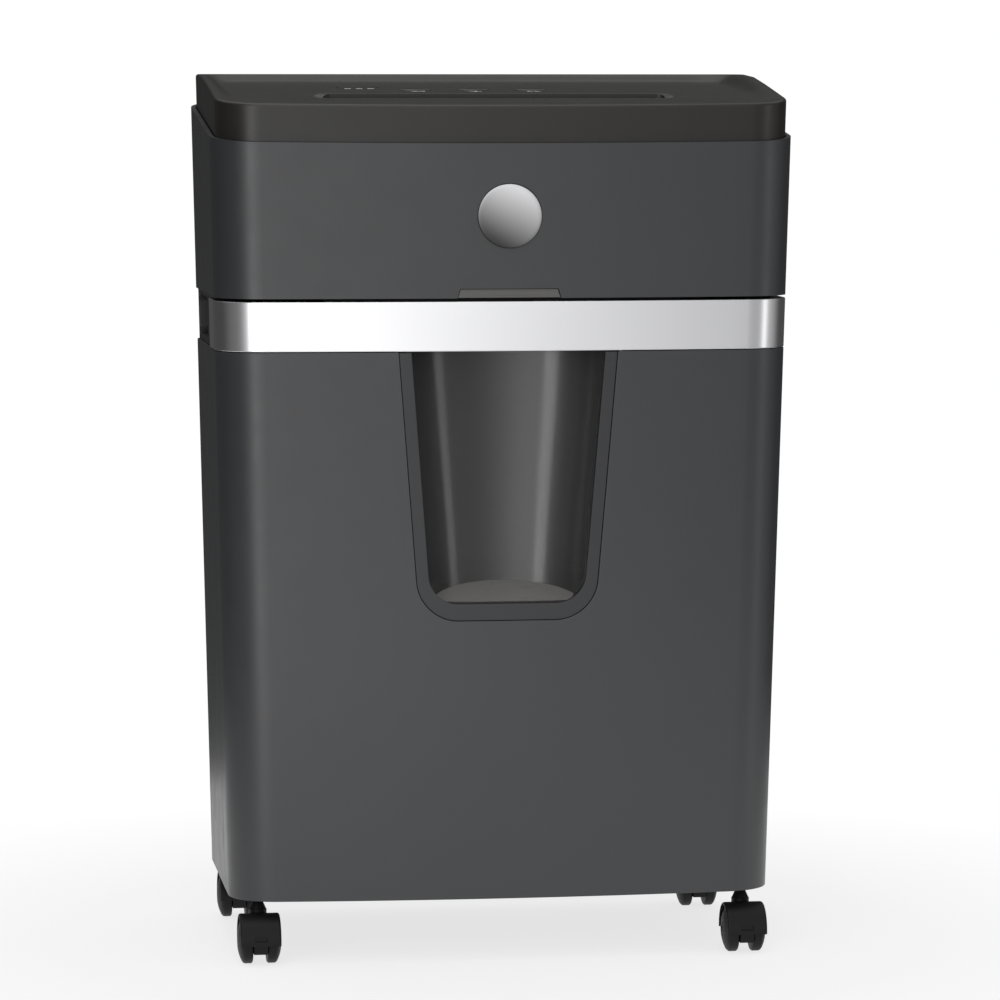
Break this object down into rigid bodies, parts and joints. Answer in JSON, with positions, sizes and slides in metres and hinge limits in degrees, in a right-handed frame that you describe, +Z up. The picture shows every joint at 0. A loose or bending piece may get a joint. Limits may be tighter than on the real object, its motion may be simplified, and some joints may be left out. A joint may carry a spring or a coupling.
{
  "type": "paper shredder",
  "caption": "Deskside paper shredder: a sloped cutting head with a paper slot and push buttons on a tapered cabinet with a pull-out windowed bin, standing on castors.",
  "frame": {"origin": "on the floor, under the middle of the overall box", "axes": "+X to the right as seen from the front, -Y towards the front face, +Z up"},
  "size_m": [0.391, 0.24, 0.5935],
  "materials": {
    "grey_shell": "fine moulded texture, satin",
    "black_cover": "fine moulded texture, satin, slightly warm black",
    "black_part": "plain moulded",
    "button_black": "satin",
    "smoked_window": "smoked clear plastic, polished",
    "silver_plate": "satin silver",
    "steel": "zinc plated sheet",
    "cutter_steel": "hardened, oiled",
    "bronze": "sintered",
    "circuit_board": "solder mask",
    "white_plastic": "natural acetal",
    "castor_black": "satin nylon",
    "castor_wheel": "satin tread"
  },
  "bodies": {
    "cabinet": {"cabinet_shell": "grey_shell", "cabinet_base": "black_part", "cabinet_collar": "black_part", "interlock_switch": "black_part", "head_shell": "grey_shell", "top_cover": "black_cover", "head_base": "black_part", "finger_scoop": "grey_shell", "badge_disc": "silver_plate", "indicator_lens": "smoked_window", "control_board": "circuit_board", "rocker_frame": "black_part", "cord_gland": "black_part", "power_board": "circuit_board", "transformer": "steel", "side_plate_left": "steel", "side_plate_right": "steel", "gear_plate": "steel", "tie_rod_front": "steel", "tie_rod_rear": "steel", "bush_front_left": "bronze", "bush_front_right": "bronze", "bush_rear_left": "bronze", "bush_rear_right": "bronze", "stripper_front": "black_part", "stripper_rear": "black_part", "motor_case": "steel", "throat_guide": "black_part"},
    "drawer": {"bin_tub": "black_part", "drawer_front": "grey_shell", "window_bezel": "grey_shell", "window_scoop": "smoked_window", "silver_band": "silver_plate"},
    "interlock_plunger": {"interlock_plunger": "white_plastic"},
    "button_reverse": {"button_reverse": "button_black"},
    "button_auto": {"button_auto": "button_black"},
    "button_forward": {"button_forward": "button_black"},
    "rocker": {"rocker": "button_black"},
    "sensor_lever": {"sensor_lever": "white_plastic"},
    "cutter_rear": {"cutter_rear": "cutter_steel", "cutter_gear_rear": "cutter_steel", "drive_gear": "cutter_steel"},
    "cutter_front": {"cutter_front": "cutter_steel", "cutter_gear_front": "cutter_steel"},
    "second_gear": {"second_gear": "white_plastic"},
    "first_gear": {"first_gear": "white_plastic"},
    "motor_rotor": {"motor_rotor": "steel"},
    "castor_front_left": {"castor_front_left_hood": "castor_black"},
    "castor_front_left_wheel_left": {"castor_front_left_wheel_left": "castor_wheel"},
    "castor_front_left_wheel_right": {"castor_front_left_wheel_right": "castor_wheel"},
    "castor_front_right": {"castor_front_right_hood": "castor_black"},
    "castor_front_right_wheel_left": {"castor_front_right_wheel_left": "castor_wheel"},
    "castor_front_right_wheel_right": {"castor_front_right_wheel_right": "castor_wheel"},
    "castor_rear_left": {"castor_rear_left_hood": "castor_black"},
    "castor_rear_left_wheel_left": {"castor_rear_left_wheel_left": "castor_wheel"},
    "castor_rear_left_wheel_right": {"castor_rear_left_wheel_right": "castor_wheel"},
    "castor_rear_right": {"castor_rear_right_hood": "castor_black"},
    "castor_rear_right_wheel_left": {"castor_rear_right_wheel_left": "castor_wheel"},
    "castor_rear_right_wheel_right": {"castor_rear_right_wheel_right": "castor_wheel"}
  },
  "joints": [
    {"name": "drawer_slide", "type": "slide", "parent": "cabinet", "child": "drawer", "axis": [0, -1, 0], "range_m": [0, 0.2]},
    {"name": "interlock_plunger_slide", "type": "slide", "parent": "cabinet", "child": "interlock_plunger", "axis": [0, -1, 0], "range_m": [0, 0.002]},
    {"name": "button_reverse_press", "type": "slide", "parent": "cabinet", "child": "button_reverse", "axis": [0, 0.0693, -0.9976], "range_m": [0, 0.001], "stiffness_N_per_m": 500, "springref_m": -0.001},
    {"name": "button_auto_press", "type": "slide", "parent": "cabinet", "child": "button_auto", "axis": [0, 0.0693, -0.9976], "range_m": [0, 0.001], "stiffness_N_per_m": 500, "springref_m": -0.001},
    {"name": "button_forward_press", "type": "slide", "parent": "cabinet", "child": "button_forward", "axis": [0, 0.0693, -0.9976], "range_m": [0, 0.001], "stiffness_N_per_m": 500, "springref_m": -0.001},
    {"name": "rocker_tilt", "type": "hinge", "parent": "cabinet", "child": "rocker", "pos_m": [-0.13, 0.116, 0.484], "axis": [1, 0, 0], "range_deg": [-5, 5]},
    {"name": "sensor_lever_swing", "type": "hinge", "parent": "cabinet", "child": "sensor_lever", "pos_m": [-0.022, -0.028, 0.552], "axis": [1, 0, 0], "range_deg": [0, 35], "stiffness_Nm_per_rad": 0.001, "springref_deg": -17.19},
    {"name": "cutter_rear_spin", "type": "hinge", "parent": "cabinet", "child": "cutter_rear", "pos_m": [0, -0.03, 0.486], "axis": [1, 0, 0], "continuous": true},
    {"name": "cutter_front_spin", "type": "hinge", "parent": "cabinet", "child": "cutter_front", "pos_m": [0, -0.062, 0.486], "axis": [1, 0, 0], "continuous": true},
    {"name": "second_gear_spin", "type": "hinge", "parent": "cabinet", "child": "second_gear", "pos_m": [0, 0.00994, 0.50054], "axis": [1, 0, 0], "continuous": true},
    {"name": "first_gear_spin", "type": "hinge", "parent": "cabinet", "child": "first_gear", "pos_m": [0, 0.05204, 0.49311], "axis": [1, 0, 0], "continuous": true},
    {"name": "motor_rotor_spin", "type": "hinge", "parent": "cabinet", "child": "motor_rotor", "pos_m": [0, 0.08176, 0.47925], "axis": [1, 0, 0], "continuous": true},
    {"name": "castor_front_left_swivel", "type": "hinge", "parent": "cabinet", "child": "castor_front_left", "pos_m": [-0.1646, -0.072, 0.042], "axis": [0, 0, 1], "continuous": true},
    {"name": "castor_front_left_wheel_left_roll", "type": "hinge", "parent": "castor_front_left", "child": "castor_front_left_wheel_left", "pos_m": [-0.1646, -0.083, 0.0155], "axis": [1, 0, 0], "continuous": true},
    {"name": "castor_front_left_wheel_right_roll", "type": "hinge", "parent": "castor_front_left", "child": "castor_front_left_wheel_right", "pos_m": [-0.1646, -0.083, 0.0155], "axis": [1, 0, 0], "continuous": true},
    {"name": "castor_front_right_swivel", "type": "hinge", "parent": "cabinet", "child": "castor_front_right", "pos_m": [0.1646, -0.072, 0.042], "axis": [0, 0, 1], "continuous": true},
    {"name": "castor_front_right_wheel_left_roll", "type": "hinge", "parent": "castor_front_right", "child": "castor_front_right_wheel_left", "pos_m": [0.1646, -0.083, 0.0155], "axis": [1, 0, 0], "continuous": true},
    {"name": "castor_front_right_wheel_right_roll", "type": "hinge", "parent": "castor_front_right", "child": "castor_front_right_wheel_right", "pos_m": [0.1646, -0.083, 0.0155], "axis": [1, 0, 0], "continuous": true},
    {"name": "castor_rear_left_swivel", "type": "hinge", "parent": "cabinet", "child": "castor_rear_left", "pos_m": [-0.1646, 0.086, 0.042], "axis": [0, 0, 1], "continuous": true},
    {"name": "castor_rear_left_wheel_left_roll", "type": "hinge", "parent": "castor_rear_left", "child": "castor_rear_left_wheel_left", "pos_m": [-0.1646, 0.097, 0.0155], "axis": [1, 0, 0], "continuous": true},
    {"name": "castor_rear_left_wheel_right_roll", "type": "hinge", "parent": "castor_rear_left", "child": "castor_rear_left_wheel_right", "pos_m": [-0.1646, 0.097, 0.0155], "axis": [1, 0, 0], "continuous": true},
    {"name": "castor_rear_right_swivel", "type": "hinge", "parent": "cabinet", "child": "castor_rear_right", "pos_m": [0.1646, 0.086, 0.042], "axis": [0, 0, 1], "continuous": true},
    {"name": "castor_rear_right_wheel_left_roll", "type": "hinge", "parent": "castor_rear_right", "child": "castor_rear_right_wheel_left", "pos_m": [0.1646, 0.097, 0.0155], "axis": [1, 0, 0], "continuous": true},
    {"name": "castor_rear_right_wheel_right_roll", "type": "hinge", "parent": "castor_rear_right", "child": "castor_rear_right_wheel_right", "pos_m": [0.1646, 0.097, 0.0155], "axis": [1, 0, 0], "continuous": true}
  ],
  "couplings": [
    {"joint": "interlock_plunger_slide", "follows": "drawer_slide", "ratio": 0.01},
    {"joint": "cutter_front_spin", "follows": "cutter_rear_spin", "ratio": -1},
    {"joint": "second_gear_spin", "follows": "cutter_rear_spin", "ratio": -2.4},
    {"joint": "first_gear_spin", "follows": "cutter_rear_spin", "ratio": 6.72},
    {"joint": "motor_rotor_spin", "follows": "cutter_rear_spin", "ratio": -23.893}
  ]
}
